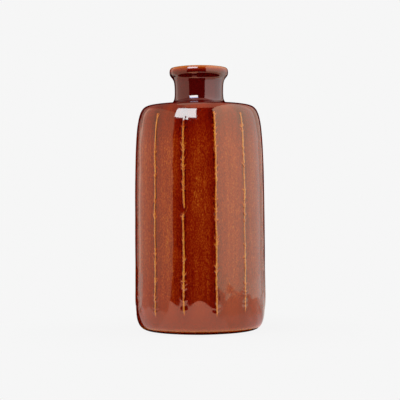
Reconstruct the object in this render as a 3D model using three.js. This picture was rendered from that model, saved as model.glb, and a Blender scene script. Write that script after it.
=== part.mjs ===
// Glazed stoneware bottle vase, in millimetres, +Z up, with the origin on the table under its centre.
// The potter makes it in sections and lutes them together: each section ends in a tongue, half the wall
// thick, that stands in a rebate of the section above, with a film of slip between. Raised lines of slip
// run up the wall, and a bare foot ring is keyed into the base.
import * as THREE from "three";

// Heights of the outline, each measured up from the one before it
const FOOT_HEIGHT = 1.5; // table to the underside of the base
const BELLY_RISE = 68.5; // to the widest level of the body
const SHOULDER_RISE = 145.3; // to the top of the shoulder, where the neck begins to rise
const WAIST_RISE = 11.7; // to the narrowest level of the neck
const FLARE_RISE = 14; // to the underside of the lip
const LIP_RISE = 5.2; // to the widest level of the lip
const LIP_CROWN = 3.8; // to the top of the lip

// Radii of the outline, and how far its turns reach from them
const BELLY_RADIUS = 61.6;
const HEEL_REACH = 15.4; // flat underside to belly
const NECK_RADIUS = 23.05; // at the waist
const NECK_ROOT = 8; // waist out to the shoulder
const FLARE_REACH = 2.8; // waist out to the underside of the lip
const LIP_OVERHANG = 4.85; // waist out to the widest level of the lip
const LIP_EDGE = 2; // widest level in to the top of the lip

// Fullness of the outline's curves, each as a share of the stretch that the curve spans
const HEEL_SWEEP = 1.18;
const BELLY_SWEEP = 0.795;
const SHOULDER_SWEEP = 1.17;
const DOME_SWEEP = 0.92;
const DOME_SLOPE = 0.205;
const ROOT_SWEEP = 0.75;
const ROOT_LIFT = 0.82;
const WAIST_SWEEP = 0.68;
const FLARE_SWEEP = 0.17;
const FLARE_SLOPE = 0.84;
const LIP_CORNER = 0.36;
const LIP_SIDE = 0.5;

// The clay and its luted joints
const WALL = 5; // floor, wall, shoulder and neck alike
const SEAM = 0.3; // film of slip between two pieces
const LAP = 3; // how far a tongue stands up into its rebate
const BASE_JOINT = 11; // above the underside of the base
const SHOULDER_JOINT = 8; // below the top of the shoulder
const NECK_JOINT = 4.5; // above the top of the shoulder
const LIP_JOINT = 2.5; // below the underside of the lip
const MOUTH_DROP = 8; // the mouth rounds in over this depth

// The foot ring
const FOOT_WIDTH = 6;
const FOOT_INSET = 12.2; // in from the edge of the flat underside, out of sight
const KEY_HEIGHT = 2; // how far its key stands up into the base

// The raised slip lines
const LINE_COUNT = 13;
const LINE_WIDTH = 1.5;
const LINE_HEIGHT = 0.5;
const LINE_TAPER = 2.5; // each end slopes down to the wall over this length
const LINE_START = 3; // above the base joint
const LINE_END = 1.5; // below the shoulder joint

// Facets: four to each slip line, so that a line sits in the middle of a flat
const SEGMENTS = 4 * LINE_COUNT;

// Levels and radii worked out from the sizes above
const bellyZ = FOOT_HEIGHT + BELLY_RISE;
const shoulderZ = bellyZ + SHOULDER_RISE;
const waistZ = shoulderZ + WAIST_RISE;
const flareZ = waistZ + FLARE_RISE;
const lipZ = flareZ + LIP_RISE;
const topZ = lipZ + LIP_CROWN;
const heelRadius = BELLY_RADIUS - HEEL_REACH;
const rootRadius = NECK_RADIUS + NECK_ROOT;
const flareRadius = NECK_RADIUS + FLARE_REACH;
const lipRadius = NECK_RADIUS + LIP_OVERHANG;
const boreRadius = NECK_RADIUS - WALL;
const baseJointZ = FOOT_HEIGHT + BASE_JOINT;
const shoulderJointZ = shoulderZ - SHOULDER_JOINT;
const neckJointZ = shoulderZ + NECK_JOINT;
const lipJointZ = flareZ - LIP_JOINT;
const outerHalf = (WALL - SEAM) / 2; // thickness of a rebate's skirt
const innerHalf = (WALL + SEAM) / 2; // depth at which a tongue begins

const point = (radius, height) => new THREE.Vector2(radius, height);

// The outline from the edge of the underside up to the top of the lip, one curve after another
function makeOutline() {
  const domeReach = DOME_SWEEP * (BELLY_RADIUS - rootRadius);
  const rootReach = ROOT_SWEEP * NECK_ROOT;
  const flareLift = FLARE_SWEEP * FLARE_RISE;
  const cornerRise = LIP_CORNER * LIP_RISE;
  const heel = new THREE.CubicBezierCurve(
    point(heelRadius, FOOT_HEIGHT),
    point(heelRadius + HEEL_SWEEP * HEEL_REACH, FOOT_HEIGHT),
    point(BELLY_RADIUS, bellyZ - BELLY_SWEEP * BELLY_RISE),
    point(BELLY_RADIUS, bellyZ),
  );
  const shoulder = new THREE.CubicBezierCurve(
    point(BELLY_RADIUS, bellyZ),
    point(BELLY_RADIUS, bellyZ + SHOULDER_SWEEP * SHOULDER_RISE),
    point(rootRadius + domeReach, shoulderZ - DOME_SLOPE * domeReach),
    point(rootRadius, shoulderZ),
  );
  const root = new THREE.CubicBezierCurve(
    point(rootRadius, shoulderZ),
    point(rootRadius - rootReach, shoulderZ + DOME_SLOPE * rootReach),
    point(NECK_RADIUS, waistZ - ROOT_LIFT * WAIST_RISE),
    point(NECK_RADIUS, waistZ),
  );
  const flare = new THREE.CubicBezierCurve(
    point(NECK_RADIUS, waistZ),
    point(NECK_RADIUS, waistZ + WAIST_SWEEP * FLARE_RISE),
    point(flareRadius - FLARE_SLOPE * flareLift, flareZ - flareLift),
    point(flareRadius, flareZ),
  );
  const underLip = new THREE.CubicBezierCurve(
    point(flareRadius, flareZ),
    point(flareRadius + FLARE_SLOPE * cornerRise, flareZ + cornerRise),
    point(lipRadius, lipZ - LIP_SIDE * LIP_RISE),
    point(lipRadius, lipZ),
  );
  const crown = new THREE.EllipseCurve(lipRadius - LIP_EDGE, lipZ, LIP_EDGE, LIP_CROWN, 0, Math.PI / 2);
  return [heel, shoulder, root, flare, underLip, crown];
}

const outline = makeOutline();

// A point at a station of the outline, which is the curve's number plus the curve's own parameter,
// and at a depth into the clay, square to the surface
function surface(station, depth = 0) {
  const index = Math.min(Math.floor(station), outline.length - 1);
  const along = outline[index].getTangent(station - index);
  return outline[index].getPoint(station - index).add(point(-along.y, along.x).multiplyScalar(depth));
}

// The station at a height, halving the outline until it is found: the outline rises all the way
function stationAt(height) {
  let low = 0;
  let high = outline.length;
  for (let halving = 0; halving < 40; halving++) {
    const middle = (low + high) / 2;
    if (surface(middle).y < height) low = middle;
    else high = middle;
  }
  return (low + high) / 2;
}

// Evenly spaced stations between two, as points at one depth
function between(from, to, steps, depth = 0) {
  return Array.from({ length: steps + 1 }, (_, i) => surface(from + ((to - from) * i) / steps, depth));
}

// The same between two heights
const stretch = (from, to, steps, depth) => between(stationAt(from), stationAt(to), steps, depth);

// A closed profile turned round the vase's axis
function turned(profile) {
  const lathe = new THREE.LatheGeometry(profile, SEGMENTS, -Math.PI / SEGMENTS, 2 * Math.PI);
  return lathe.rotateX(Math.PI / 2);
}

const ring = (profile) => turned([...profile, profile[0].clone()]);

// Up the outside, over the tongue, down the inside and back through the rebate
function lutedSection(lowZ, highZ, outerSteps, innerSteps) {
  const seatZ = lowZ + SEAM;
  return ring([
    ...stretch(seatZ, highZ, outerSteps),
    ...stretch(highZ, highZ + LAP, 1, innerHalf),
    ...stretch(highZ + LAP, seatZ + LAP, innerSteps, WALL),
    ...stretch(seatZ + LAP, seatZ, 1, outerHalf),
  ]);
}

// The foot ring stands on the table, and its key stands up into a groove in the base
const footOuter = heelRadius - FOOT_INSET;
const footInner = footOuter - FOOT_WIDTH;
const keyInner = footInner + FOOT_WIDTH / 3;
const keyOuter = footOuter - FOOT_WIDTH / 3;

function footRing() {
  const ledge = FOOT_HEIGHT - SEAM;
  const keyTop = FOOT_HEIGHT + KEY_HEIGHT - SEAM;
  return ring([
    point(footInner, 0),
    point(footOuter, 0),
    point(footOuter, ledge),
    point(keyOuter, ledge),
    point(keyOuter, keyTop),
    point(keyInner, keyTop),
    point(keyInner, ledge),
    point(footInner, ledge),
  ]);
}

// Floor and heel in one dish, with the groove underneath and a tongue on its rim
function baseDish() {
  const grooveTop = FOOT_HEIGHT + KEY_HEIGHT;
  return turned([
    point(0, FOOT_HEIGHT),
    point(keyInner - SEAM, FOOT_HEIGHT),
    point(keyInner - SEAM, grooveTop),
    point(keyOuter + SEAM, grooveTop),
    point(keyOuter + SEAM, FOOT_HEIGHT),
    ...stretch(FOOT_HEIGHT, baseJointZ, 6),
    ...stretch(baseJointZ, baseJointZ + LAP, 1, innerHalf),
    ...stretch(baseJointZ + LAP, FOOT_HEIGHT, 5, WALL),
    point(0, FOOT_HEIGHT + WALL),
  ]);
}

// The neck stands on the shoulder's tongue, has a straight bore, and ends in a tongue for the lip
function neck() {
  const seatZ = neckJointZ + SEAM;
  return ring([
    ...stretch(seatZ, lipJointZ, 8),
    point(NECK_RADIUS - innerHalf, lipJointZ),
    point(NECK_RADIUS - innerHalf, lipJointZ + LAP),
    point(boreRadius, lipJointZ + LAP),
    point(boreRadius, seatZ + LAP),
    ...stretch(seatZ + LAP, seatZ, 1, outerHalf),
  ]);
}

// The lip: its rounded outside, then the mouth rounding in to the bore
function lipRing() {
  const seatZ = lipJointZ + SEAM;
  const mouth = new THREE.QuadraticBezierCurve(
    point(lipRadius - LIP_EDGE, topZ),
    point(boreRadius, topZ),
    point(boreRadius, topZ - MOUTH_DROP),
  );
  return ring([
    ...between(stationAt(seatZ), outline.length, 11),
    ...mouth.getPoints(5).slice(1),
    point(boreRadius, seatZ + LAP),
    point(NECK_RADIUS - outerHalf, seatZ + LAP),
    point(NECK_RADIUS - outerHalf, seatZ),
  ]);
}

// One raised line, drawn in the plane through the axis and given its width: its back follows the flat
// of the wall, a seam away, and its ends slope down to the wall
function slipLine() {
  const lowZ = baseJointZ + LINE_START;
  const highZ = shoulderJointZ - LINE_END;
  const steps = 11;
  const back = stretch(lowZ, highZ, steps, -SEAM);
  const crest = stretch(highZ - LINE_TAPER, lowZ + LINE_TAPER, steps, -SEAM - LINE_HEIGHT);
  const flat = Math.cos(Math.PI / SEGMENTS);
  const section = new THREE.Shape([...back, ...crest].map((p) => point(p.x * flat, p.y)));
  const strip = new THREE.ExtrudeGeometry(section, { depth: LINE_WIDTH, steps: 1, bevelEnabled: false });
  return strip.translate(0, 0, -LINE_WIDTH / 2).rotateX(Math.PI / 2);
}

// Finishes: a glossy iron-red glaze, the same glaze broken to amber on the lines, and bare stoneware
const glaze = () => new THREE.MeshStandardMaterial({ color: 0x86260a, roughness: 0.12, metalness: 0 });
const amber = () => new THREE.MeshStandardMaterial({ color: 0xc07a38, roughness: 0.18, metalness: 0 });
const bareClay = () => new THREE.MeshStandardMaterial({ color: 0x6b5140, roughness: 0.9, metalness: 0 });

const vase = new THREE.Group();

function addPiece(name, geometry, material) {
  const mesh = new THREE.Mesh(geometry, material);
  mesh.name = name;
  vase.add(mesh);
  return mesh;
}

addPiece("foot_ring", footRing(), bareClay());
addPiece("base_dish", baseDish(), glaze());
addPiece("body_wall", lutedSection(baseJointZ, shoulderJointZ, 14, 10), glaze());
addPiece("shoulder", lutedSection(shoulderJointZ, neckJointZ, 9, 7), glaze());
addPiece("neck", neck(), glaze());
addPiece("lip_ring", lipRing(), glaze());

// The lines stand evenly round the wall, with the front, at -Y, midway between two of them
for (let i = 0; i < LINE_COUNT; i++) {
  const name = "slip_line_" + String(i + 1).padStart(2, "0");
  const line = addPiece(name, slipLine(), amber());
  line.rotation.z = ((i + 0.5) * 2 * Math.PI) / LINE_COUNT - Math.PI / 2;
}

export default vase;
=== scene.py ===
# %% [markdown]
# # A glazed stoneware bottle vase
# The real vase is thrown in sections that are luted together, trailed with thin lines of slip, and
# covered in a glossy iron-red glaze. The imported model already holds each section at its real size. This
# lesson gives every section its fired skin: smooth outlines, raised lines that the glaze breaks over,
# and a glaze whose colour follows how thick it lies.

import math

import bpy
import numpy as np
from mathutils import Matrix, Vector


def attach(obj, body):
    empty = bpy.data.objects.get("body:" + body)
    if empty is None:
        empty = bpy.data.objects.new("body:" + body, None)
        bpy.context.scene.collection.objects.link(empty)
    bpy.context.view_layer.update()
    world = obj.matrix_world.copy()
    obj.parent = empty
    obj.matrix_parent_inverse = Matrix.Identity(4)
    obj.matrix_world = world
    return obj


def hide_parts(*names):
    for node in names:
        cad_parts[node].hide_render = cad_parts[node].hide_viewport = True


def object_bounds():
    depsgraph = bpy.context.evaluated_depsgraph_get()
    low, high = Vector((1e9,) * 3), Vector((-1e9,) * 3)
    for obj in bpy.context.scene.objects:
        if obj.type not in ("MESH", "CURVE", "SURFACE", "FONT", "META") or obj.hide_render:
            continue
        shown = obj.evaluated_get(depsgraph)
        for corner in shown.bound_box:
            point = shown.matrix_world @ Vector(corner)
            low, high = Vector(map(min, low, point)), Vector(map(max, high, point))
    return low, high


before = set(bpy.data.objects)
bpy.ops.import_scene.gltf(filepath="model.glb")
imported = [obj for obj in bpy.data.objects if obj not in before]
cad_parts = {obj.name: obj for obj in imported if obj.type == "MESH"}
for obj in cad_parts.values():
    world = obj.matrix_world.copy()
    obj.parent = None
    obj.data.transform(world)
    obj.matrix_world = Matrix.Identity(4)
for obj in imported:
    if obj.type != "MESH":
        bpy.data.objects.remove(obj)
cad_low, cad_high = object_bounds()
cad_size = cad_high - cad_low
print("packed model, mm:", [round(1000 * side, 1) for side in cad_size])

# %% [markdown]
# ## The camera
# The photograph is taken with a long lens from about a metre away, a little below the middle of the
# vase, and looks up by less than a degree. A long lens keeps the sides nearly straight. The vase leans
# nearly half a degree to the left in the frame, so the camera is rolled by that and the vase stays upright.

# %% Set the camera
MM = 0.001
CAMERA_DISTANCE = 1100 * MM
CAMERA_HEIGHT = 115 * MM
CAMERA_SIDESTEP = 0.2 * MM
CAMERA_ROLL = math.radians(0.42)
LOOKS_AT_HEIGHT = 124.6 * MM
LENS_MM = 104.0
SENSOR_MM = 36.0

scene = bpy.context.scene
scene.view_settings.view_transform = "Standard"
camera = bpy.data.objects.new("camera", bpy.data.cameras.new("camera"))
camera.data.lens = LENS_MM
camera.data.sensor_width = SENSOR_MM
camera.location = (CAMERA_SIDESTEP, -CAMERA_DISTANCE, CAMERA_HEIGHT)
pitch = math.atan2(LOOKS_AT_HEIGHT - CAMERA_HEIGHT, CAMERA_DISTANCE)
camera.rotation_euler = (math.pi / 2 + pitch, CAMERA_ROLL, 0)
scene.collection.objects.link(camera)
scene.camera = camera
print("camera at", [round(value, 4) for value in camera.location])

# %% [markdown]
# ## The outline
# A thrown vase is a surface of revolution, so one outline holds its whole shape: heel, belly, shoulder,
# neck root, flare and lip. It could be drawn by hand and lathed, but a chain of cubic curves that share
# their tangents stays smooth in a mirror-like glaze, where any kink would show. The sizes are those of
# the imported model.

# %% Outline sizes
FOOT_HEIGHT = 1.5 * MM
BELLY_LEVEL = 70.0 * MM
SHOULDER_LEVEL = 215.3 * MM
WAIST_LEVEL = 227.0 * MM
FLARE_LEVEL = 241.0 * MM
LIP_LEVEL = 246.2 * MM
TOP_LEVEL = cad_high.z

HEEL_RADIUS = 46.2 * MM
BELLY_RADIUS = 61.6 * MM
ROOT_RADIUS = 31.05 * MM
NECK_RADIUS = 23.05 * MM
FLARE_RADIUS = 25.85 * MM
LIP_RADIUS = 27.9 * MM
LIP_EDGE = 2.0 * MM

WALL = 5.0 * MM
BORE_RADIUS = NECK_RADIUS - WALL
MOUTH_DROP = 8.0 * MM
print("bore, mm:", round(2000 * BORE_RADIUS, 1))

# %% [markdown]
# Each curve keeps to the tangent at its ends for a while before it turns. How long is a share of the rise
# or the run between them. Two slopes say how the dome meets the neck's root and how the flare meets the
# lip.

# %% Sweeps and slopes of the curves
CURVE_STEPS = 1200
EDGE_STEPS = 600
HEEL_SWEEP = 1.18
BELLY_SWEEP = 0.795
SHOULDER_SWEEP = 1.17
DOME_SWEEP = 0.92
DOME_SLOPE = 0.205
ROOT_SWEEP = 0.75
ROOT_LIFT = 0.82
WAIST_SWEEP = 0.68
FLARE_SWEEP = 0.17
FLARE_SLOPE = 0.84
LIP_CORNER = 0.36
LIP_SIDE = 0.5


def cubic(a, b, c, d):
    """Points on a cubic curve: each control point times its Bernstein polynomial of t, added up."""
    t = np.linspace(0, 1, CURVE_STEPS)[:, None]
    a, b, c, d = (np.array(point) for point in (a, b, c, d))
    return (1 - t) ** 3 * a + 3 * (1 - t) ** 2 * t * b + 3 * (1 - t) * t ** 2 * c + t ** 3 * d


# %% Draw the outline
dome = DOME_SWEEP * (BELLY_RADIUS - ROOT_RADIUS)
root = ROOT_SWEEP * (ROOT_RADIUS - NECK_RADIUS)
flare = FLARE_SWEEP * (FLARE_LEVEL - WAIST_LEVEL)
lip_corner = LIP_CORNER * (LIP_LEVEL - FLARE_LEVEL)
lip_side = LIP_SIDE * (LIP_LEVEL - FLARE_LEVEL)
quarter = np.linspace(0, math.pi / 2, EDGE_STEPS)

outline = np.concatenate([
    cubic((HEEL_RADIUS, FOOT_HEIGHT),
          (HEEL_RADIUS + HEEL_SWEEP * (BELLY_RADIUS - HEEL_RADIUS), FOOT_HEIGHT),
          (BELLY_RADIUS, BELLY_LEVEL - BELLY_SWEEP * (BELLY_LEVEL - FOOT_HEIGHT)),
          (BELLY_RADIUS, BELLY_LEVEL)),
    cubic((BELLY_RADIUS, BELLY_LEVEL),
          (BELLY_RADIUS, BELLY_LEVEL + SHOULDER_SWEEP * (SHOULDER_LEVEL - BELLY_LEVEL)),
          (ROOT_RADIUS + dome, SHOULDER_LEVEL - DOME_SLOPE * dome),
          (ROOT_RADIUS, SHOULDER_LEVEL))[1:],
    cubic((ROOT_RADIUS, SHOULDER_LEVEL),
          (ROOT_RADIUS - root, SHOULDER_LEVEL + DOME_SLOPE * root),
          (NECK_RADIUS, WAIST_LEVEL - ROOT_LIFT * (WAIST_LEVEL - SHOULDER_LEVEL)),
          (NECK_RADIUS, WAIST_LEVEL))[1:],
    cubic((NECK_RADIUS, WAIST_LEVEL),
          (NECK_RADIUS, WAIST_LEVEL + WAIST_SWEEP * (FLARE_LEVEL - WAIST_LEVEL)),
          (FLARE_RADIUS - FLARE_SLOPE * flare, FLARE_LEVEL - flare),
          (FLARE_RADIUS, FLARE_LEVEL))[1:],
    cubic((FLARE_RADIUS, FLARE_LEVEL),
          (FLARE_RADIUS + FLARE_SLOPE * lip_corner, FLARE_LEVEL + lip_corner),
          (LIP_RADIUS, LIP_LEVEL - lip_side),
          (LIP_RADIUS, LIP_LEVEL))[1:],
    np.stack([LIP_RADIUS - LIP_EDGE + LIP_EDGE * np.cos(quarter),
              LIP_LEVEL + (TOP_LEVEL - LIP_LEVEL) * np.sin(quarter)], 1)[1:],
])
steps_along = np.linalg.norm(np.diff(outline, axis=0), axis=1)
distance_along = np.concatenate([[0], np.cumsum(steps_along)])
tangent = np.gradient(outline, distance_along, axis=0)
tangent /= np.linalg.norm(tangent, axis=1)[:, None]
print("outline length, mm:", round(1000 * distance_along[-1], 1))

# %% [markdown]
# Three small helpers read the outline. The first finds how far along it a height lies. The second gives
# points there, moved square to the surface into the clay, which is how a wall of even thickness is made.
# The third gives a run of such points between two heights.

# %% Helpers that read the outline
CROWDING = 0.9


def along_at(height):
    """Distance along the outline at a height. The outline rises all the way, so this is a lookup."""
    return np.interp(height, outline[:, 1], distance_along)


def skin(along, depth=0.0):
    """Radius and height at distances along the outline, moved inwards by depth times the inward normal,
    which is the tangent turned a quarter turn."""
    point, way = (np.stack([np.interp(along, distance_along, table[:, k]) for k in (0, 1)], -1)
                  for table in (outline, tangent))
    return point + depth * np.stack([-way[..., 1], way[..., 0]], -1)


def stretch(low, high, rows, depth=0.0):
    """Points from one height to another. Rows crowd towards both ends, as t minus a sine of t, so that
    the shading of two neighbouring sections agrees where they meet."""
    t = np.linspace(0, 1, rows)
    eased = t - CROWDING * np.sin(2 * math.pi * t) / (2 * math.pi)
    start, end = along_at(low), along_at(high)
    return skin(start + (end - start) * eased, depth)


print("belly radius, mm:", np.round(1000 * skin(along_at(BELLY_LEVEL)), 2))

# %% [markdown]
# ## The thrown surface
# A mirror-like glaze shows the slightest wave in the clay: on the real vase the floor's reflection ends
# in a wavy line near the heel. A bump map could fake that, but the wave is real shape, so it goes into
# the mesh: a sum of a few faint waves, each with a whole number of crests round the vase so that it
# closes on itself.

# %% Faint waves of the thrown wall
LINE_COUNT = 13
LINE_PITCH = 2 * math.pi / LINE_COUNT
COLUMNS = 24 * LINE_COUNT
WAVE_SEED = 11
WAVE_COUNT = 16
WAVE_SLOPE = 0.0032
CRESTS_ROUND = (8, 38)
CREST_GAP_MM = (14, 60)
WAVES_START = (2 * MM, 12 * MM)
WAVES_STOP = (200 * MM, 214 * MM)
HEEL_WAVES = 5.0
HEEL_WAVE_LEVEL = 20 * MM
HEEL_WAVE_REACH = 9 * MM
ROLL_LEVEL = 28 * MM
ROLL_SWING = 6.5 * MM
ROLL_REACH = 5 * MM
ROLL_HEIGHT = 0.12 * MM
waves = np.random.default_rng(WAVE_SEED)
WAVES_ROUND = waves.integers(*CRESTS_ROUND, WAVE_COUNT)[:, None, None]
WAVES_UP = (2 * math.pi / (waves.uniform(*CREST_GAP_MM, WAVE_COUNT) * MM))[:, None, None]
WAVE_PHASE = waves.uniform(0, 2 * math.pi, WAVE_COUNT)[:, None, None]
WAVE_HEIGHT = WAVE_SLOPE / np.hypot(WAVES_ROUND / BELLY_RADIUS, WAVES_UP)


def ease(value, low, high):
    """A smooth step: 0 at low, 1 at high, with t squared times 3 minus 2t between them."""
    t = np.clip((value - low) / (high - low), 0, 1)
    return t * t * (3 - 2 * t)


def thrown_wave(angle, height):
    """Sum of cosines of the angle round the vase and the height. A bell curve of the height makes them
    stronger above the heel, where the glaze ran thick, and they fade out at the heel and the neck. The
    glaze also stopped in a faint roll: a bell curve about a level that swings up between the lines."""
    crests = WAVE_HEIGHT * np.cos(WAVES_ROUND * angle + WAVES_UP * height + WAVE_PHASE)
    fade = ease(height, *WAVES_START) * (1 - ease(height, *WAVES_STOP))
    runs = 1 + HEEL_WAVES * np.exp(-((height - HEEL_WAVE_LEVEL) / HEEL_WAVE_REACH) ** 2)
    roll_level = ROLL_LEVEL + ROLL_SWING * np.cos(LINE_COUNT * angle)
    roll = ROLL_HEIGHT * np.exp(-((height - roll_level) / ROLL_REACH) ** 2)
    return (crests.sum(0) * runs + roll) * fade


print("wave height, mm:", round(1000 * float(WAVE_HEIGHT.sum()), 3))

# %% [markdown]
# ## How thick the glaze lies, and where shade is painted
# An iron glaze is amber where it is thin and nearly black-red where it pools. On this vase it is thin on
# the rim and on the lines, amber in the middle of each panel, redder beside the lines and under the
# shoulder, and darkest on the neck. At the heel it thins to amber. Two steps paint in shade: the wall
# is darker low down, where less light reaches it, and the lowest edge is darkest, as the shade where the
# vase stands on the floor.
# One number at each vertex holds that: 0 for a bare breath of glaze and 1 for a deep pool. The material
# turns it into colour later. Each change runs between two heights.

# %% Glaze depth by place
PANEL_DEPTH = 0.51
BESIDE_LINE = 0.19
BESIDE_REACH = 7.3 * MM
UNDER_SHOULDER = 0.17
# Painted shade: the lower wall is darkened, where less light reaches it.
LOW_WALL_SHADE = 0.04
NECK_DEPTH = 0.96
RIM_DEPTH = 0.24
HEEL_DEPTH = 0.25
# Painted contact shade: the darkest glaze colour along the lowest few millimetres, where the vase stands.
CONTACT_SHADE_DEPTH = 1.0
SHOULDER_CLEARS = 0.6
INSIDE_DEPTH = 0.6
# Heights over which the painted contact shade fades out.
CONTACT_SHADE_ENDS = (3.0 * MM, 5.0 * MM)
HEEL_ENDS = (4.5 * MM, 9 * MM)
HEEL_EVENS = (8 * MM, 26 * MM)
# Heights over which the painted shade of the lower wall fades out.
LOW_WALL_SHADE_ENDS = (40 * MM, 85 * MM)
SHOULDER_REDDENS = (172 * MM, 203 * MM)
SHOULDER_TOP = (205 * MM, 211 * MM)
NECK_STARTS = (209 * MM, 216 * MM)
RIM_STARTS = (243.5 * MM, 249.5 * MM)


def glaze_depth(angle, height):
    """Panel value, plus a bell curve of the distance to the nearest line that evens out round the heel,
    plus smooth steps up the vase: painted contact shade at the lowest edge, thin at the heel, painted
    shade low on the wall, redder under the shoulder, clearer on top of it, dark on the neck and amber on
    the rim."""
    to_line = np.abs(np.mod(angle / LINE_PITCH, 1) - 0.5) * LINE_PITCH * BELLY_RADIUS
    beside = BESIDE_LINE * np.exp(-(to_line / BESIDE_REACH) ** 2)
    even = BESIDE_LINE * math.sqrt(math.pi) * BESIDE_REACH / (LINE_PITCH * BELLY_RADIUS)
    depth = PANEL_DEPTH + even + (beside - even) * ease(height, *HEEL_EVENS)
    clears = 1 - SHOULDER_CLEARS * ease(height, *SHOULDER_TOP)
    depth = depth + UNDER_SHOULDER * ease(height, *SHOULDER_REDDENS) * clears
    # painted shade: darker low on the wall, where less light reaches
    depth = depth + LOW_WALL_SHADE * (1 - ease(height, *LOW_WALL_SHADE_ENDS))
    depth = depth + (HEEL_DEPTH - depth) * (1 - ease(height, *HEEL_ENDS))
    # painted contact shade: darkest along the lowest edge, where the vase stands
    depth = depth + (CONTACT_SHADE_DEPTH - depth) * (1 - ease(height, *CONTACT_SHADE_ENDS))
    depth = depth + (NECK_DEPTH - depth) * ease(height, *NECK_STARTS)
    return depth + (RIM_DEPTH - depth) * ease(height, *RIM_STARTS)


print("depth at the front, mid wall:", round(float(glaze_depth(0.0, 120 * MM)), 2))

# %% [markdown]
# The glaze is flecked on the wall. Where it ran together, at the heel and on the neck, the flecks melted
# away, and on the shoulder they are fainter. A second number at each vertex holds that share.

# %% Share of flecks by height
LEAST_FLECKS = 0.12
SHOULDER_CALM = 0.4
FLECKS_START = (24 * MM, 40 * MM)
FLECKS_CALM = (180 * MM, 196 * MM)
FLECKS_STOP = (205 * MM, 214 * MM)


def fleck_share(height):
    """How strongly the flecks show: fully on the wall, less on the shoulder, and hardly where the glaze ran
    together, low on the heel and from the neck up."""
    calmer = 1 - SHOULDER_CALM * ease(height, *FLECKS_CALM)
    shown = ease(height, *FLECKS_START) * calmer * (1 - ease(height, *FLECKS_STOP))
    return LEAST_FLECKS + (1 - LEAST_FLECKS) * shown


print("flecks on the shoulder:", round(float(fleck_share(200 * MM)), 2))

# %% [markdown]
# ## Turning a section
# Each section is one closed profile, up the outside and down the inside, carried round the axis. The
# whole grid of points is worked out at once: the rows are the profile's points and the columns are the
# angles. The front of the vase is at -Y, and angles grow towards +X.

# %% Put a grid into a mesh
SHARP_EDGE = math.radians(40)


def new_piece(name, points, faces, **values):
    """A mesh object from points, faces and named values at each point. Edges that turn by more than 40
    degrees stay sharp, and the rest are smooth."""
    mesh = bpy.data.meshes.new(name)
    mesh.from_pydata(points.reshape(-1, 3), [], faces)
    for label, value in values.items():
        flat = np.ascontiguousarray(value, np.float32).ravel()
        mesh.attributes.new(label, "FLOAT", "POINT").data.foreach_set("value", flat)
    mesh.shade_smooth()
    mesh.set_sharp_from_angle(angle=SHARP_EDGE)
    mesh.update()
    piece = bpy.data.objects.new(name, mesh)
    scene.collection.objects.link(piece)
    print(name, len(mesh.vertices), "points,", len(mesh.polygons), "faces")
    return piece


def grid_faces(rows, columns, rows_close=False, columns_close=True):
    """Quads of a grid. Its last row joins its first where the rows close, and so with the columns."""
    i = np.arange(rows if rows_close else rows - 1)[:, None]
    j = np.arange(columns if columns_close else columns - 1)[None, :]
    up, on = (i + 1) % rows, (j + 1) % columns
    corners = (i * columns + j, i * columns + on, up * columns + on, up * columns + j)
    return np.stack(np.broadcast_arrays(*corners), -1).reshape(-1, 4).tolist()


# %% Turn a profile round the axis
def turned(name, profile, glazed_rows, poles=False):
    """The profile's radius and height carried round the axis: x is r sin(angle) and y is -r cos(angle).
    The first glazed_rows rows are the outer skin, which takes the thrown waves and the glaze's depth.
    With poles, the first and last points lie on the axis and close into fans of triangles."""
    angle = np.arange(COLUMNS)[None, :] * (2 * math.pi / COLUMNS)
    radius, height = profile[:, :1], profile[:, 1:]
    outer = (np.arange(len(profile)) < glazed_rows)[:, None]
    radius = radius + np.where(outer, thrown_wave(angle, height), 0)
    points = np.stack([radius * np.sin(angle), -radius * np.cos(angle), height + 0 * angle], -1)
    depth = np.where(outer, glaze_depth(angle, height), INSIDE_DEPTH)
    flecks = fleck_share(height) + 0 * angle
    if not poles:
        faces = grid_faces(len(profile), COLUMNS, True)
        return new_piece(name, points, faces, glaze_depth=depth, fleck_share=flecks)
    rings = len(profile) - 2
    faces = grid_faces(rings, COLUMNS)
    first, last = rings * COLUMNS, rings * COLUMNS + 1
    j = np.arange(COLUMNS)
    on = (j + 1) % COLUMNS
    top = (rings - 1) * COLUMNS
    faces += np.stack([0 * j + first, on, j], -1).tolist()
    faces += np.stack([top + j, top + on, 0 * j + last], -1).tolist()
    flat, depth, flecks = (
        np.concatenate([grid[1:-1].reshape(-1, *grid.shape[2:]), grid[0, :1], grid[-1, :1]])
        for grid in (points, depth, flecks))
    return new_piece(name, flat, faces, glaze_depth=depth, fleck_share=flecks)


# %% [markdown]
# ## The clay sections
# Base, wall, shoulder, neck and lip are separate pieces of clay. Each but the lip ends in a tongue, half
# the wall thick, that stands in a rebate of the next one. On the outside two sections share one ring of
# points, because the glaze has run over the joint and hidden it.

# %% Levels of the luted joints
SEAM = 0.3 * MM
LAP = 3.0 * MM
BASE_JOINT = 12.5 * MM
SHOULDER_JOINT = 207.3 * MM
NECK_JOINT = 219.8 * MM
LIP_JOINT = 238.5 * MM
INNER_HALF = (WALL + SEAM) / 2
OUTER_HALF = (WALL - SEAM) / 2
TONGUE_ROWS = 4


def luted_section(name, low, high, outer_rows, inner_rows):
    """Up the outside, over the tongue, down the inside and back through the rebate."""
    return turned(name, np.concatenate([
        stretch(low, high, outer_rows),
        stretch(high, high + LAP, TONGUE_ROWS, INNER_HALF),
        stretch(high + LAP, low + LAP + SEAM, inner_rows, WALL),
        stretch(low + LAP + SEAM, low, TONGUE_ROWS, OUTER_HALF),
    ]), outer_rows)


# %% Body wall and shoulder
wall = luted_section("body_wall_glazed", BASE_JOINT, SHOULDER_JOINT, outer_rows=200, inner_rows=40)
shoulder = luted_section("shoulder_glazed", SHOULDER_JOINT, NECK_JOINT, outer_rows=90, inner_rows=24)

# %% [markdown]
# The base is a dish: flat underneath, rounded at the heel, with a tongue on its rim. Its profile starts
# and ends on the axis.

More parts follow.
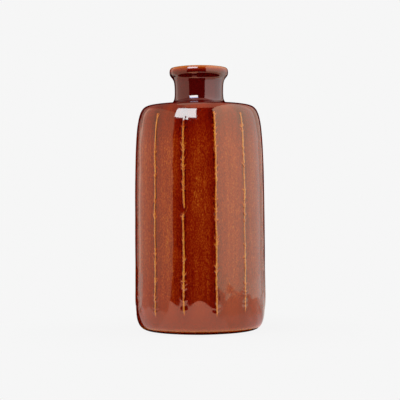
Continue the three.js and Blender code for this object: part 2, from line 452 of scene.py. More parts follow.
# %% Base dish
DISH_RINGS = 11
HEEL_ROWS = 70
DISH_ROWS = 16
rings_out = np.linspace(0, HEEL_RADIUS, DISH_RINGS + 1)[:-1]
rings_in = np.linspace(HEEL_RADIUS, 0, DISH_RINGS + 1)[1:]
flat_underside = np.stack([rings_out, np.full(DISH_RINGS, FOOT_HEIGHT)], 1)
inside_floor = np.stack([rings_in, np.full(DISH_RINGS, FOOT_HEIGHT + WALL)], 1)
base = turned("base_dish_glazed", np.concatenate([
    flat_underside,
    stretch(FOOT_HEIGHT, BASE_JOINT, HEEL_ROWS),
    stretch(BASE_JOINT, BASE_JOINT + LAP, TONGUE_ROWS, INNER_HALF),
    stretch(BASE_JOINT + LAP, FOOT_HEIGHT, DISH_ROWS, WALL),
    inside_floor,
]), DISH_RINGS + HEEL_ROWS, poles=True)

# %% [markdown]
# The neck has a straight bore. The lip is a thick ring whose mouth rounds in to that bore along a
# quadratic curve.

# %% Neck
NECK_ROWS = 70
BORE_ROWS = 8
bore_levels = np.linspace(LIP_JOINT + LAP, NECK_JOINT + LAP + SEAM, BORE_ROWS)
neck = turned("neck_glazed", np.concatenate([
    stretch(NECK_JOINT, LIP_JOINT, NECK_ROWS),
    [[NECK_RADIUS - INNER_HALF, LIP_JOINT], [NECK_RADIUS - INNER_HALF, LIP_JOINT + LAP]],
    np.stack([np.full(BORE_ROWS, BORE_RADIUS), bore_levels], 1),
    stretch(NECK_JOINT + LAP + SEAM, NECK_JOINT, TONGUE_ROWS, OUTER_HALF),
]), NECK_ROWS)

# %% Lip
LIP_ROWS = 90
MOUTH_ROWS = 24
t = np.linspace(0, 1, MOUTH_ROWS + 1)[1:, None]
mouth = ((1 - t) ** 2 * np.array([LIP_RADIUS - LIP_EDGE, TOP_LEVEL])
         + 2 * (1 - t) * t * np.array([BORE_RADIUS, TOP_LEVEL])
         + t ** 2 * np.array([BORE_RADIUS, TOP_LEVEL - MOUTH_DROP]))
lip = turned("lip_ring_glazed", np.concatenate([
    stretch(LIP_JOINT, TOP_LEVEL, LIP_ROWS),
    mouth,
    [[BORE_RADIUS, LIP_JOINT + LAP + SEAM],
     [NECK_RADIUS - OUTER_HALF, LIP_JOINT + LAP + SEAM],
     [NECK_RADIUS - OUTER_HALF, LIP_JOINT]],
]), LIP_ROWS + MOUTH_ROWS)

# %% [markdown]
# ## The foot ring
# The foot is bare clay, wiped clean before firing so that it doesn't stick to the kiln shelf. Its edges
# are softened by a sponge, so its profile is a rounded rectangle: a superellipse of high power.

# %% Foot ring
FOOT_INNER = 28.0 * MM
FOOT_OUTER = 34.0 * MM
FOOT_POINTS = 48
FOOT_ROUNDING = 0.22
turn = np.linspace(0, 2 * math.pi, FOOT_POINTS + 1)[:-1]
across, up = (np.sign(wave) * np.abs(wave) ** FOOT_ROUNDING for wave in (np.cos(turn), np.sin(turn)))
foot_profile = np.stack([
    (FOOT_OUTER + FOOT_INNER) / 2 + (FOOT_OUTER - FOOT_INNER) / 2 * across,
    FOOT_HEIGHT / 2 + FOOT_HEIGHT / 2 * up,
], 1)
foot = turned("foot_ring_bare", foot_profile, glazed_rows=0)

# %% [markdown]
# ## The slip lines
# Each raised line was trailed on the wall with a fine nozzle. It is a narrow bead that wanders a little,
# with pairs of short barbs where the nozzle dragged. The glaze breaks to amber on its crest and pools
# dark beside it. A swept tube would look too regular, so each line is a height field over a narrow strip
# of the wall: across the strip runs a bell curve, along it runs the wobble, and the barbs are slanting
# ridges. Where the height falls below nothing, the strip dips under the wall and is hidden.

# %% Sizes of a line
LINE_LOW = 15.5 * MM
LINE_HIGH = 205.8 * MM
STRIP_HALF = 4.4 * MM
STRIP_COLUMNS = 35
STRIP_ROWS = 820
STRIP_DEPTH = 0.45 * MM
STRIP_CROWDING = 1.6
BEAD_HALF = 1.0 * MM
BEAD_HEIGHT = 0.34 * MM
BEAD_FLATNESS = 4.0
POOL_HEIGHT = 0.015 * MM
POOL_HALF = 2.2 * MM
WOBBLE = 0.22 * MM
WOBBLE_LONG = 11 * MM
WOBBLE_SHORT = 4 * MM
WOBBLE_SHORT_SHARE = 0.5
WIDTH_SWING = 0.10
WIDTH_SWING_LENGTH = 2.6 * MM
WIDTH_RIPPLE = 0.08
WIDTH_RIPPLE_LENGTH = 1.1 * MM
END_TAPER = 5.0 * MM
TOP_END = 2.5 * MM
TOP_TAPER = 16.0 * MM
END_SPREAD = 6.0 * MM
SINK = 0.05 * MM
CREST_DEPTH = 0.15
POOL_SHADE = 0.15
POOL_OUT = 1.75 * MM
POOL_WIDTH = 0.55 * MM
CREST_BREAKS = (0.55, 0.90)
print("line length, mm:", round(1000 * float(along_at(LINE_HIGH) - along_at(LINE_LOW)), 1))

# %% [markdown]
# A barb is a small ridge that leaves the bead and rises outwards. The glaze ran over it, so it is steep
# below and long above, and its lower flank mirrors the floor. Barbs come in pairs, one on each side, at
# uneven heights, and hardly any pair is equal. Low on the wall they grow into wider, flatter wings, and
# towards the shoulder they fade.

# %% Barbs beside a line
BARB_PAIRS = 34
BARB_REACH_MM = (1.8, 3.2)
BARB_SLANT = (0.2, 2.6)
BARB_STRENGTH = (0.3, 1.0)
BARB_HEIGHT = 0.42 * MM
BARB_UNDER = 0.60 * MM
BARB_OVER = 2.2 * MM
BARB_TRACE = 0.9 * MM
BARB_BREAK = 2.0
BARB_BREAK_MOST = 0.8
BARB_GROWTH = 0.8
BARB_GROWS = (14 * MM, 38 * MM)
BARB_FADES = (165 * MM, 190 * MM)
BARB_FADE_SHARE = 0.85


def barbs(across, along, dice):
    """The highest of many slanting ridges. Each is a bell curve about a slanted line, narrow below it and
    wide above it, that starts on the bead, on one side only, and thins out to nothing at its tip. Growth
    makes the low ones larger and less slanted. The second result is the share of glaze that breaks there,
    along a bell curve that is narrow on both sides."""
    root = np.tile(dice.uniform(along[0, 0], along[-1, 0], BARB_PAIRS), 2)[:, None, None]
    side = np.repeat([-1.0, 1.0], BARB_PAIRS)[:, None, None]
    growth_start, growth_end = (along[0, 0] + level for level in BARB_GROWS)
    growth = 1 + BARB_GROWTH * (1 - ease(root, growth_start, growth_end))
    reach = (dice.uniform(*BARB_REACH_MM, 2 * BARB_PAIRS) * MM)[:, None, None]
    reach = np.minimum(reach * growth, STRIP_HALF)
    slant = dice.uniform(*BARB_SLANT, 2 * BARB_PAIRS)[:, None, None] / growth ** 3
    strength = dice.uniform(*BARB_STRENGTH, 2 * BARB_PAIRS)[:, None, None]
    out = across * side
    taper = np.sqrt(np.clip(1 - out / reach, 0, 1)) * (out > 0)
    above = along - root - slant * out
    under = BARB_UNDER * growth
    ridge = growth * np.exp(-(above / np.where(above > 0, BARB_OVER, under)) ** 2)
    trace = np.exp(-(above / np.where(above > 0, BARB_TRACE, under)) ** 2) / growth ** 3
    broken = BARB_BREAK * (strength * taper * trace).max(0)
    return BARB_HEIGHT * (strength * taper * ridge).max(0), np.minimum(broken, BARB_BREAK_MOST)


print(BARB_PAIRS, "pairs of barbs on each line")

# %% [markdown]
# One line, at the front on the left, slips sideways half-way up the wall, where the potter's hand
# stopped and started again: it slants, thins to nothing for a few millimetres and goes on. It ends lower
# than the others. Near its top the glaze lies over it, so it pales there, and two small drips stand beside
# it, which give the white mark on the shoulder its jagged lower edge.

# %% The broken line
BROKEN_LINE = 13
SLIP_REACH = 9 * MM
SLIP_SIDE = 1.6 * MM
BREAK_LEVEL = 114 * MM
BREAK_HALF = 2.6 * MM
BREAK_SHARE = 0.9
BROKEN_ENDS = (196 * MM, 200 * MM)
BROKEN_PALES = (186 * MM, 200 * MM)
BROKEN_PALE_SHARE = 0.7
DRIPS = ((3.2 * MM, 196.7 * MM), (1.6 * MM, 200.2 * MM))
DRIP_HALF = 1.0 * MM
DRIP_REACH = 1.6 * MM
DRIP_HEIGHT = 0.16 * MM


def sideslip(number, height):
    """Sideways shift of a line: above the break it dies away exponentially, and below it there is none."""
    above = np.maximum(height - BREAK_LEVEL, 0)
    return (number == BROKEN_LINE) * SLIP_SIDE * np.exp(-above / SLIP_REACH) * (height > BREAK_LEVEL)


def kept(number, height):
    """Share of the bead's full height: 1, but little in the break, along a flat-topped bell curve."""
    lost = BREAK_SHARE * (number == BROKEN_LINE)
    return 1 - lost * np.exp(-((height - BREAK_LEVEL) / BREAK_HALF) ** 4)


def drips(number, across, height):
    """Two small bumps of glaze beside the top of the broken line: bell curves across and along it."""
    bumps = [np.exp(-((across - out) / DRIP_HALF) ** 2 - ((height - level) / DRIP_REACH) ** 2)
             for out, level in DRIPS]
    return (number == BROKEN_LINE) * DRIP_HEIGHT * sum(bumps)


print("the broken line is number", BROKEN_LINE)

# %% [markdown]
# Two lines, near the left and right edges of the front, were trailed thinner, and the glaze lies over
# them.

# %% Height and glaze of a line
LINE_SEED = 100
THIN_LINES = (3, 11)
THIN_SHARE = 0.4


def relief(number, along, level, across):
    """A bead, a flat-topped bell curve about a path of two sines, plus its barbs, tapered at both ends.
    Returns its height over the wall, the share of glaze that pools beside it and the share that breaks."""
    dice = np.random.default_rng(LINE_SEED + number)
    phase = dice.uniform(0, 2 * math.pi, 4)
    wobble = np.sin(along / WOBBLE_LONG + phase[0])
    wobble = WOBBLE * (wobble + WOBBLE_SHORT_SHARE * np.sin(along / WOBBLE_SHORT + phase[1]))
    width = 1 + WIDTH_SWING * np.sin(along / WIDTH_SWING_LENGTH + phase[2])
    width = width + WIDTH_RIPPLE * np.sin(along / WIDTH_RIPPLE_LENGTH + phase[3])
    from_bead = across - wobble - sideslip(number, level)
    start = along[0, 0] + dice.uniform(0, 1) * END_SPREAD
    stop = along[-1, 0]
    ends = ease(along, start, start + END_TAPER) * (1 - ease(along, stop - TOP_END, stop))
    ends = ends * (1 - (number == BROKEN_LINE) * ease(level, *BROKEN_ENDS))
    full = THIN_SHARE if number in THIN_LINES else 1.0
    low_top = 1 - (number != BROKEN_LINE) * ease(along, stop - TOP_TAPER, stop)
    crest = np.exp(-np.abs(from_bead / (BEAD_HALF * width)) ** BEAD_FLATNESS) * kept(number, level)
    ridges, thinned = barbs(from_bead, along, dice)
    ridges = ridges * (1 - BARB_FADE_SHARE * ease(level, *BARB_FADES))
    pool = POOL_HEIGHT * (1 - (across / POOL_HALF) ** 2)
    raised = (BEAD_HEIGHT * width * crest + ridges) * low_top * full
    lift = (pool + raised) * ends - SINK * (1 - ends) + drips(number, across, level)
    pooled = np.exp(-((np.abs(from_bead) - POOL_OUT) / POOL_WIDTH) ** 2) * ends
    pales = 1 - BROKEN_PALE_SHARE * (number == BROKEN_LINE) * ease(level, *BROKEN_PALES)
    broken = np.maximum(ease(crest, *CREST_BREAKS), thinned) * ends * full * pales
    return lift, pooled, broken


# %% One slip line
def slip_line(number):
    """A strip of the wall from LINE_LOW to LINE_HIGH, moved out by its height and closed behind. Columns
    crowd towards its middle, as a hyperbolic sine. Returns the finished piece."""
    along = np.linspace(along_at(LINE_LOW), along_at(LINE_HIGH), STRIP_ROWS)[:, None]
    foot_points = skin(along[:, 0])
    spread = np.linspace(-1, 1, STRIP_COLUMNS)[None, :]
    across = STRIP_HALF * np.sinh(STRIP_CROWDING * spread) / math.sinh(STRIP_CROWDING)
    lift, pooled, broken = relief(number, along, foot_points[:, 1:], across)
    lift = np.concatenate([lift, np.full((STRIP_ROWS, 2), -STRIP_DEPTH)], 1)
    across = np.concatenate([across, [[STRIP_HALF, -STRIP_HALF]]], 1)
    angle = (number - 0.5) * LINE_PITCH + across / foot_points[:, :1]
    height = foot_points[:, 1:] + 0 * across
    radius = foot_points[:, :1] + thrown_wave(angle, height) + lift
    points = np.stack([radius * np.sin(angle), -radius * np.cos(angle), height], -1)
    shade = glaze_depth(angle, height)
    shade[:, :-2] += POOL_SHADE * pooled
    shade[:, :-2] += (CREST_DEPTH - shade[:, :-2]) * broken
    loop = STRIP_COLUMNS + 2
    faces = grid_faces(STRIP_ROWS, loop)
    faces += [list(range(loop))[::-1], list(range((STRIP_ROWS - 1) * loop, STRIP_ROWS * loop))]
    flecks = fleck_share(height)
    return new_piece(f"slip_line_{number:02d}_glazed", points, faces, glaze_depth=shade, fleck_share=flecks)


lines = [slip_line(number) for number in range(1, LINE_COUNT + 1)]

# %% [markdown]
# ## Materials
# One small function adds a node with its settings and links. Colours are written as sRGB hex values,
# as read off a screen, and one function turns them into the linear values that the shader needs.

# %% Node and colour helpers
def linear(code):
    """An sRGB hex code as linear red, green, blue and alpha: a power of 2.4 above a short straight toe."""
    srgb = np.array([int(code[k:k + 2], 16) for k in (1, 3, 5)]) / 255
    rgb = np.where(srgb <= 0.04045, srgb / 12.92, ((srgb + 0.055) / 1.055) ** 2.4)
    return (*rgb.tolist(), 1.0)


def add(tree, kind, inputs=None, **settings):
    """Adds one shader node. Settings are its properties, and inputs are values or sockets to link."""
    node = tree.nodes.new("ShaderNode" + kind)
    for name, value in settings.items():
        setattr(node, name, value)
    for name, value in (inputs or {}).items():
        if isinstance(value, bpy.types.NodeSocket):
            tree.links.new(value, node.inputs[name])
        else:
            node.inputs[name].default_value = value
    return node


def new_material(name):
    """An empty node material and its output node."""
    material = bpy.data.materials.new(name)
    material.use_nodes = True
    material.node_tree.nodes.clear()
    return material, add(material.node_tree, "OutputMaterial")


print("mid grey in linear light:", round(linear("#808080")[0], 3))

# %% [markdown]
# ### Iron-red glaze
# The glaze is glass with iron in it, melted onto the clay. It is as smooth as glass, and the iron
# crystals at its surface reflect more than plain glass does, and warmly. As it melted it ran: fine
# flecks under a millimetre wide, long faint runs down the wall and a soft mottle. All three shift the
# depth before a colour ramp turns depth into colour. Where the glaze is thinnest, on the lines, it is
# also drier, so there the roughness rises.

# %% Iron-red glaze
GLAZE_STOPS = (
    (0.00, "#CE8C36"),
    (0.20, "#B8681E"),
    (0.40, "#98380A"),
    (0.55, "#852004"),
    (0.70, "#720E02"),
    (0.85, "#5C0803"),
    (1.00, "#440404"),
)
FLECK_WIDTH = 0.78 * MM
FLECK_LENGTH = 1.8 * MM
FLECK_SHIFT = 0.195
RUN_WIDTH = 2.4 * MM
RUN_LENGTH = 45 * MM
RUN_SHIFT = 0.070
MOTTLE_SIZE = 11 * MM
MOTTLE_SHIFT = 0.030
NOISE_DETAIL = 2.5
NOISE_LOW = 0.30
NOISE_HIGH = 0.70
PEEL_SIZE = 3.0 * MM
PEEL_HEIGHT = 0.004 * MM
DRY_ROUGHNESS = 0.14
DRY_DEPTH = 0.15
WET_DEPTH = 0.40


def glaze(name, ior, tint, roughness):
    """Depth from the piece, shifted by flecks, runs and mottle, through a ramp to the base colour."""
    material, output = new_material(name)
    tree = material.node_tree
    place = add(tree, "TexCoord").outputs["Object"]
    thick = add(tree, "Attribute", attribute_name="glaze_depth").outputs["Fac"]
    strength = add(tree, "Attribute", attribute_name="fleck_share").outputs["Fac"]
    depth = thick
    patterns = (
        (FLECK_WIDTH, FLECK_LENGTH, FLECK_SHIFT),
        (RUN_WIDTH, RUN_LENGTH, RUN_SHIFT),
        (MOTTLE_SIZE, MOTTLE_SIZE, MOTTLE_SHIFT),
    )
    for width, length, amount in patterns:
        stretched = add(tree, "Mapping", {
            "Vector": place, "Scale": (1 / width, 1 / width, 1 / length)})
        noise = add(tree, "TexNoise", {
            "Vector": stretched.outputs[0], "Scale": 1.0, "Detail": NOISE_DETAIL})
        shift = add(tree, "MapRange", {
            "Value": noise.outputs["Fac"], "From Min": NOISE_LOW, "From Max": NOISE_HIGH,
            "To Min": -amount, "To Max": amount}, clamp=False)
        depth = add(tree, "Math", {0: shift.outputs[0], 1: strength, 2: depth},
                    operation="MULTIPLY_ADD").outputs[0]
    ramp = add(tree, "ValToRGB", {"Fac": depth})
    while len(ramp.color_ramp.elements) < len(GLAZE_STOPS):
        ramp.color_ramp.elements.new(0.5)
    for element, (position, code) in zip(ramp.color_ramp.elements, GLAZE_STOPS):
        element.position = position
        element.color = linear(code)
    dryness = add(tree, "MapRange", {
        "Value": thick, "From Min": WET_DEPTH, "From Max": DRY_DEPTH,
        "To Min": roughness, "To Max": DRY_ROUGHNESS})
    peel = add(tree, "TexNoise", {"Vector": place, "Scale": 1 / PEEL_SIZE, "Detail": 1.0})
    bump = add(tree, "Bump", {"Height": peel.outputs["Fac"], "Distance": PEEL_HEIGHT})
    shader = add(tree, "BsdfPrincipled", {
        "Base Color": ramp.outputs["Color"], "Roughness": dryness.outputs[0], "IOR": ior,
        "Specular Tint": linear(tint), "Normal": bump.outputs[0]})
    tree.links.new(shader.outputs[0], output.inputs["Surface"])
    print(name, "ior", ior)
    return material


wall_glaze = glaze("iron_red_glaze", ior=2.13, tint="#FFD1A7", roughness=0.06)
neck_glaze = glaze("iron_red_glaze_pooled", ior=1.93, tint="#FFD4C6", roughness=0.05)
lip_glaze = glaze("iron_red_glaze_rim", ior=2.0, tint="#FFD2B2", roughness=0.05)
line_glaze = glaze("amber_breaking_glaze", ior=2.13, tint="#FFD1A7", roughness=0.06)

# %% [markdown]
# ### Bare stoneware
# Unglazed stoneware is dull and a little gritty: brown clay with dark iron specks and a fine grain.

# %% Bare stoneware
GRIT_SIZE = 0.6 * MM
GRIT_HEIGHT = 0.05 * MM
GRIT_STOPS = ((0.38, "#3A2A20"), (0.62, "#7A5E4A"))
MATT_ROUGHNESS = 0.9


def bare_stoneware():
    """Two browns mixed by a noise the size of grit, matt, with the same noise as a bump."""
    material, output = new_material("bare_stoneware")
    tree = material.node_tree
    place = add(tree, "TexCoord").outputs["Object"]
    grit = add(tree, "TexNoise", {"Vector": place, "Scale": 1 / GRIT_SIZE, "Detail": 4.0})
    ramp = add(tree, "ValToRGB", {"Fac": grit.outputs["Fac"]})
    for element, (position, code) in zip(ramp.color_ramp.elements, GRIT_STOPS):
        element.position = position
        element.color = linear(code)
    bump = add(tree, "Bump", {"Height": grit.outputs["Fac"], "Distance": GRIT_HEIGHT})
    shader = add(tree, "BsdfPrincipled", {
        "Base Color": ramp.outputs["Color"], "Roughness": MATT_ROUGHNESS, "Normal": bump.outputs[0]})
    tree.links.new(shader.outputs[0], output.inputs["Surface"])
    return material


bare_clay = bare_stoneware()
print("grit size, mm:", 1000 * GRIT_SIZE)

# %% [markdown]
# ## Fitting the pieces to the frame
# Each piece rides on the vase's one body and stands for its CAD node, whose part it hides.

# %% Ride and replace the CAD parts
fitted = [
    (foot, "foot_ring", "bare_stoneware", bare_clay),
    (base, "base_dish", "iron_red_glaze", wall_glaze),
    (wall, "body_wall", "iron_red_glaze", wall_glaze),
    (shoulder, "shoulder", "iron_red_glaze", wall_glaze),
    (neck, "neck", "iron_red_glaze", neck_glaze),
    (lip, "lip_ring", "iron_red_glaze", lip_glaze),
]
fitted += [(line, f"slip_line_{number:02d}", "amber_slip_line", line_glaze)
           for number, line in enumerate(lines, 1)]
for piece, node, slot, material in fitted:
    piece.data.materials.append(material)
    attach(piece, "root")
    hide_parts(node)
print(len(fitted), "pieces fitted")

# %% [markdown]
# The pooled glaze of the neck begins in the hollow of its root, which belongs to the shoulder section, so
# the faces of that section above the hollow's edge take the neck's glaze.

# %% Pooled glaze in the hollow of the neck
POOL_EDGE = 215.9 * MM
faces = shoulder.data.polygons
middles = np.empty(3 * len(faces), np.float32)
faces.foreach_get("center", middles)
shoulder.data.materials.append(neck_glaze)
faces.foreach_set("material_index", (middles[2::3] > POOL_EDGE).astype(np.int32))
print(int((middles[2::3] > POOL_EDGE).sum()), "faces in the hollow")

# %% [markdown]
# ## The studio
# The background is pale and even, and so is the floor, which keeps the vase's soft shadow. Both show
# their pale colour to the camera and to reflections, and give only a plain fill to the rest.

# %% World
PALE = linear("#F6F6F6")
FILL = 0.25


def seen(tree):
    """1 for rays from the camera, and for mirrored and transmitted ones, and 0 for the rest."""
    path = add(tree, "LightPath").outputs
    first = add(tree, "Math", {0: path["Is Camera Ray"], 1: path["Is Glossy Ray"]},
                operation="MAXIMUM")
    return add(tree, "Math", {0: first.outputs[0], 1: path["Is Transmission Ray"]},
               operation="MAXIMUM").outputs[0]


world = bpy.data.worlds.new("pale_studio")
world.use_nodes = True
tree = world.node_tree
tree.nodes.clear()
fill_light = add(tree, "Background", {"Color": PALE, "Strength": FILL})
backdrop = add(tree, "Background", {"Color": PALE, "Strength": 1.0})
either = add(tree, "MixShader", {"Fac": seen(tree), 1: fill_light.outputs[0], 2: backdrop.outputs[0]})
add(tree, "OutputWorld", {"Surface": either.outputs[0]})
scene.world = world
print("world fill", FILL)

# %% [markdown]
# The floor is a wide disc. Under the vase it is an ordinary matt surface, near the vase it takes a faint
# shadow, and further out it fades to the background's own colour, so that no horizon shows.

# %% Floor
FLOOR_RADIUS = 4.0
FLOOR_RINGS = 24
FLOOR_SECTORS = 96
FLOOR_MIDDLE = 0.001
SHADOW_SHARE = 0.04
SHADOW_NEAR = 60 * MM
SHADOW_FAR = 220 * MM
CONTACT_NEAR = 33 * MM
CONTACT_FAR = 36 * MM
MATT_WHITE = linear("#E8E8E8")


def studio_floor():
    """A disc, and a material that mixes a flat pale glow with a matt white by the distance out."""
    rings = FLOOR_RADIUS * np.linspace(FLOOR_MIDDLE, 1, FLOOR_RINGS)[:, None] ** 2
    angle = np.arange(FLOOR_SECTORS)[None, :] * (2 * math.pi / FLOOR_SECTORS)
    points = np.stack([rings * np.cos(angle), rings * np.sin(angle), 0 * rings * angle], -1)
    floor = new_piece("studio_floor", points[::-1], grid_faces(FLOOR_RINGS, FLOOR_SECTORS))
    material, output = new_material("pale_floor")
    tree = material.node_tree
    out = add(tree, "VectorMath", {
        0: add(tree, "TexCoord").outputs["Object"]}, operation="LENGTH")
    glow_share = add(tree, "MapRange", {
        "Value": out.outputs["Value"], "From Min": SHADOW_NEAR, "From Max": SHADOW_FAR,
        "To Min": 1 - SHADOW_SHARE, "To Max": 1.0}, interpolation_type="SMOOTHSTEP")
    contact = add(tree, "MapRange", {
        "Value": out.outputs["Value"], "From Min": CONTACT_NEAR, "From Max": CONTACT_FAR},
        interpolation_type="SMOOTHSTEP")
    lit = add(tree, "Math", {0: contact.outputs[0], 1: glow_share.outputs[0]},
              operation="MULTIPLY")
    share = add(tree, "Math", {0: lit.outputs[0], 1: seen(tree)}, operation="MULTIPLY")
    matt = add(tree, "BsdfDiffuse", {"Color": MATT_WHITE})
    glow = add(tree, "Emission", {"Color": PALE, "Strength": 1.0})
    mixed = add(tree, "MixShader", {
        "Fac": share.outputs[0], 1: matt.outputs[0], 2: glow.outputs[0]})
    tree.links.new(mixed.outputs[0], output.inputs["Surface"])
    floor.data.materials.append(material)


studio_floor()

# %% [markdown]
# ## Light and reflections
# A glossy pot is mostly a picture of the room. The lamps light its colour, and cards that only mirrored
# rays can see draw what it reflects: a bright panel in front on the left, a tall soft box on the right,
# a dark gap between them where the camera stands, and dark cards behind that give it an edge.

# %% Lamps
AIM = np.array([0, 0, 0.13])


def direction(azimuth, elevation):
    """Unit vector to a place round the vase: azimuth 0 is the camera's side and grows towards +X."""
    azimuth, elevation = np.radians(azimuth), np.radians(elevation)
    return np.stack(np.broadcast_arrays(
        np.cos(elevation) * np.sin(azimuth), -np.cos(elevation) * np.cos(azimuth), np.sin(elevation)), -1)


def lamp(name, azimuth, elevation, distance, width, height, radiance):
    """A rectangular lamp that faces the vase. Its power is radiance times pi times its area."""
    light = bpy.data.lights.new(name, "AREA")
    light.shape = "RECTANGLE"
    light.size = width
    light.size_y = height
    light.energy = radiance * math.pi * width * height
    bulb = bpy.data.objects.new(name, light)
    away = direction(azimuth, elevation)
    bulb.location = AIM + distance * away
    bulb.rotation_euler = Vector(-away).to_track_quat("-Z", "Y").to_euler()
    bulb.visible_camera = False
    bulb.visible_glossy = False
    scene.collection.objects.link(bulb)


lamp("key_lamp", -28, 36, distance=1.0, width=0.64, height=0.46, radiance=7.0)
lamp("right_lamp", 78, 22, distance=1.0, width=1.2, height=0.9, radiance=2.0)
lamp("left_lamp", -95, 20, distance=1.0, width=1.0, height=0.8, radiance=1.2)
print("three lamps")

# %% [markdown]
# Cards and cloths are both sheets: a grid of points with a glow. A lamp could light real cards, but a glow
# is exact and throws no stray light on the clay.

# %% Sheets that only reflections see
SHEET_ROWS = 17
SHEET_COLUMNS = 25
BLACK = "#000000"


def evenly(ends, count):
    """Values that go evenly from the first end to the second. One number stands for both ends."""
    return np.linspace(*np.broadcast_to(ends, 2), count)


def glowing_sheet(name, points, colour=BLACK, glow=0.0):
    """A grid of points as a sheet whose glow goes evenly from its first row to its last. Only mirrored
    rays see it, and only on its back, which is the side towards the vase."""
    glows = evenly(glow, SHEET_ROWS)[:, None] + np.zeros(SHEET_COLUMNS)
    faces = grid_faces(SHEET_ROWS, SHEET_COLUMNS, columns_close=False)
    sheet = new_piece(name, points, faces, glow=glows)
    material, output = new_material(name)
    tree = material.node_tree
    strength = add(tree, "Attribute", attribute_name="glow").outputs["Fac"]
    light = add(tree, "Emission", {"Color": linear(colour), "Strength": strength})
    back = add(tree, "NewGeometry").outputs["Backfacing"]
    clear = add(tree, "BsdfTransparent").outputs[0]
    sided = add(tree, "MixShader", {"Fac": back, 1: clear, 2: light.outputs[0]})
    tree.links.new(sided.outputs[0], output.inputs["Surface"])
    sheet.data.materials.append(material)
    sheet.visible_camera = False
    sheet.visible_diffuse = False
    sheet.visible_transmission = False
    sheet.visible_shadow = False
    return sheet


# %% [markdown]
# A flat panel that stands upright beside the vase shows in the glaze with a curved upper edge, highest
# straight at the side. The cards on both sides end along such a curve. Each side is cut into strips,
# because its brightness changes from front to back.

# %% Cards round the vase
WARM_GREY = "#FFF0E5"
SOFT_WHITE = "#F8F7FF"
COOL_WHITE = "#ECF8FF"


def card(name, azimuths, elevations, distance, colour=BLACK, glow=0.0, centre=AIM):
    """A patch of a sphere round a point, between two azimuths and two elevations in degrees. An elevation
    is one number, or one for each column."""
    azimuth = np.linspace(*azimuths, SHEET_COLUMNS)[None, :]
    lower, upper = (np.broadcast_to(edge, SHEET_COLUMNS) for edge in elevations)
    elevation = lower + (upper - lower) * np.linspace(0, 1, SHEET_ROWS)[:, None]
    glowing_sheet(name, centre + distance * direction(azimuth, elevation), colour, glow)


def side_panel(name, azimuths, colour, glow, bottom, rise, distance):
    """A card that ends at the top as a flat panel upright at the side does: the elevation there is the
    arctangent of rise times the sine of the azimuth."""
    azimuth = np.radians(np.linspace(*azimuths, SHEET_COLUMNS))
    top = np.degrees(np.arctan(rise * np.abs(np.sin(azimuth))))
    card(name, azimuths, (bottom, top), distance, colour, glow)


LEFT = dict(bottom=-8, rise=0.86, distance=1.2)
RIGHT = dict(bottom=-7, rise=2.05, distance=1.0)
card("key_panel", (-47, -5), (26.5, 49), distance=0.9, colour="#A0CCFF", glow=13.2)
side_panel("left_panel", (-118, -47.1), WARM_GREY, 0.70, **LEFT)
side_panel("left_inner_edge", (-127, -118), WARM_GREY, 0.83, **LEFT)
side_panel("left_bright_edge", (-134, -127), WARM_GREY, 1.30, **LEFT)
side_panel("left_dim_edge", (-146, -134), WARM_GREY, 0.42, **LEFT)
side_panel("right_soft_box", (28, 80), SOFT_WHITE, (1.38, 2.02), **RIGHT)
side_panel("right_soft_middle", (80, 105), COOL_WHITE, (1.33, 1.86), **RIGHT)
side_panel("right_soft_edge", (105, 130), COOL_WHITE, (1.27, 1.66), **RIGHT)
side_panel("right_dim_edge", (130, 150), WARM_GREY, 0.92, **RIGHT)
card("front_dark", (-47.1, 40), (-14, 52), distance=1.4)
card("front_top", (-46, 150), (52, 88), distance=1.45, colour="#FFCBC2", glow=1.0)
card("upper_left_dark", (-150, -46), (20, 68), distance=1.5, colour=WARM_GREY, glow=0.35)
card("back_dark", (151, 214), (-14, 68), distance=1.6)

# %% [markdown]
# Two narrow dark cards close behind the neck draw the thin dark edges on its sides. They are near enough
# that the wall below doesn't mirror them.

# %% Cards beside the neck
NECK_CENTRE = np.array([0, 0, 0.215])
card("neck_edge_right", (138, 157), (8, 18), distance=0.15, centre=NECK_CENTRE)
card("neck_edge_left", (-157, -138), (8, 18), distance=0.15, centre=NECK_CENTRE)

# %% [markdown]
# The hollow at the neck's root mirrors the bright panel as a small white mark. The pooled glaze would
# turn it blue and dim, so a small clear sheet that leans outwards before the hollow warms and lifts what
# passes through. Only rays that start close behind it are changed.

# %% Clear sheet before the neck's root
GEL_COLOUR = (2.0, 1.75, 1.15, 1.0)
GEL_RANGE = 25 * MM
GEL_AZIMUTHS = (-31.5, -2)
GEL_REACH = (39.2 * MM, 43.9 * MM)
GEL_LEVEL = (225.6 * MM, 233.8 * MM)


def neck_gel():
    """A patch of a cone, higher where it is further out, whose clear shader multiplies what it passes."""
    azimuth = evenly(GEL_AZIMUTHS, SHEET_COLUMNS)[None, :]
    reach = evenly(GEL_REACH, SHEET_ROWS)[:, None, None]
    level = evenly(GEL_LEVEL, SHEET_ROWS)[:, None, None]
    sheet = glowing_sheet("neck_gel", reach * direction(azimuth, 0) + level * np.array([0, 0, 1]))
    tree = sheet.data.materials[0].node_tree
    tree.nodes.clear()
    length = add(tree, "LightPath").outputs["Ray Length"]
    near = add(tree, "Math", {0: length, 1: GEL_RANGE}, operation="LESS_THAN")
    back = add(tree, "NewGeometry").outputs["Backfacing"]
    acts = add(tree, "Math", {0: near.outputs[0], 1: back}, operation="MULTIPLY")
    clear = add(tree, "BsdfTransparent").outputs[0]
    gel = add(tree, "BsdfTransparent", {"Color": GEL_COLOUR}).outputs[0]
    sided = add(tree, "MixShader", {"Fac": acts.outputs[0], 1: clear, 2: gel})
    add(tree, "OutputMaterial", {"Surface": sided.outputs[0]})


neck_gel()

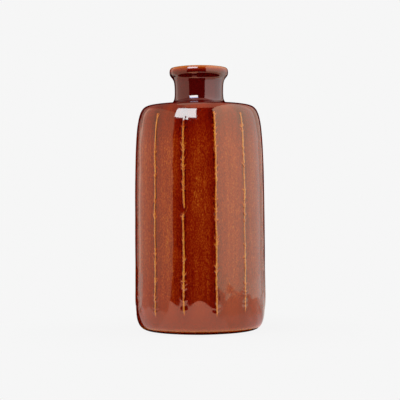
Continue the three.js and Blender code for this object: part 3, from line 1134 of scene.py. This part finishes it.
# %% [markdown]
# The vase stands on a table, and the glaze near the heel mirrors it: pale and pinkish close to the vase,
# brown further out on the right. The table's edge is nearest on the left and furthest on the right. Beyond
# it the floor is dark at the front and the back, grey on the left and bright on the right. A black ring
# under the heel is the contact shadow. Each of these is a flat sector of a ring, a hair above the floor.

# %% Cloths on the floor
TABLE_LEVEL = 0.3 * MM
BEYOND_LEVEL = 0.5 * MM
SHADOW_EDGE = 57.1 * MM
TABLE_START = 57.5 * MM
FRONT_EDGE = 0.36
LEFT_EDGE = 0.20
RIGHT_MIDDLE = 0.13
RIGHT_EDGE = (0.76, 0.74)
RIGHT_SIDE_EDGE = 0.50
PINK_TABLE = "#FFE7EA"
BROWN_TABLE = "#FFDFD6"


def cloth(name, azimuths, inner, outer, colour=BLACK, glow=0.0, level=BEYOND_LEVEL):
    """A flat sector of a ring, from an inner radius to an outer one, at a level just above the floor. A
    radius is one number, or a pair for an edge that goes evenly from one azimuth to the other."""
    azimuth = np.linspace(*azimuths, SHEET_COLUMNS)[None, :]
    near, far = (evenly(edge, SHEET_COLUMNS) for edge in (inner, outer))
    reach = near + (far - near) * np.linspace(0, 1, SHEET_ROWS)[:, None]
    flat = direction(azimuth, 0) * reach[..., None] + np.array([0, 0, level])
    glowing_sheet(name, flat, colour, glow)


def table(name, azimuths, inner, outer, colour, glow):
    """A cloth at the table's level, just under the others."""
    cloth(name, azimuths, inner, outer, colour, glow, TABLE_LEVEL)


# %% Table and floor round the vase
table("front_near_cloth", (-50, 30), TABLE_START, FRONT_EDGE, "#FFE7F0", 1.12)
cloth("front_cloth", (-50, 30), FRONT_EDGE, 3.0)
table("left_near_cloth", (-118, -50), TABLE_START, LEFT_EDGE, PINK_TABLE, 0.97)
cloth("left_cloth", (-118, -50), LEFT_EDGE, 1.3, "#FFDCD4", 0.74)
table("right_near_cloth", (30, 110), TABLE_START, RIGHT_MIDDLE, PINK_TABLE, 0.97)
table("right_brown_cloth", (30, 84), RIGHT_MIDDLE, RIGHT_EDGE, BROWN_TABLE, 0.91)
table("right_brown_side", (84, 110), RIGHT_MIDDLE, RIGHT_SIDE_EDGE, BROWN_TABLE, 0.91)
cloth("right_far_cloth", (30, 84), RIGHT_EDGE, 1.1, COOL_WHITE, 1.42)
cloth("right_far_side", (84, 130), RIGHT_SIDE_EDGE, 1.1, COOL_WHITE, 1.42)
cloth("right_back_cloth", (145, 165), 0.10, 1.7, WARM_GREY, (0.75, 0.10))
cloth("back_cloth", (165, 218), 0.30, 1.7)
cloth("contact_shadow", (0, 360), FOOT_OUTER, SHADOW_EDGE)

# %% [markdown]
# Under the lip the neck mirrors its own shoulder. A dark ring a hair above the shoulder keeps that
# reflection as dark as the pooled glaze. It is clear from below, so the shoulder doesn't mirror it. A small
# light patch on it is the bright panel, which the shoulder mirrors into the lip.

# %% Ring above the shoulder
SHADE_LEVEL = 216.8 * MM
MARK_LEVEL = 217.0 * MM
SHADE_INNER = 31.0 * MM
MARK_INNER = 36.5 * MM
SHADE_OUTER = 46.0 * MM
cloth("shoulder_shade", (0, 360), SHADE_INNER, SHADE_OUTER, level=SHADE_LEVEL)
cloth("shoulder_mark", (-25, -7), MARK_INNER, SHADE_OUTER, "#FFC2C8", 0.85, level=MARK_LEVEL)

# %% [markdown]
# The light from the front on the right throws the vase's shadow along the floor to the back on the left.
# The glaze mirrors it there as a dark edge, broad at the heel and thin up the wall.

# %% Thrown shadow
SHADOW_WAY = -138
SHADOW_HALF = 55 * MM
SHADOW_REACH = (0.01, 0.6)
along_way = direction(SHADOW_WAY, 0)
square_way = direction(SHADOW_WAY + 90, 0)
reach = evenly(SHADOW_REACH, SHEET_ROWS)[:, None, None]
aside = np.linspace(-SHADOW_HALF, SHADOW_HALF, SHEET_COLUMNS)[None, :, None]
hair = np.array([0, 0, BEYOND_LEVEL])
glowing_sheet("thrown_shadow", reach * along_way + aside * square_way + hair)
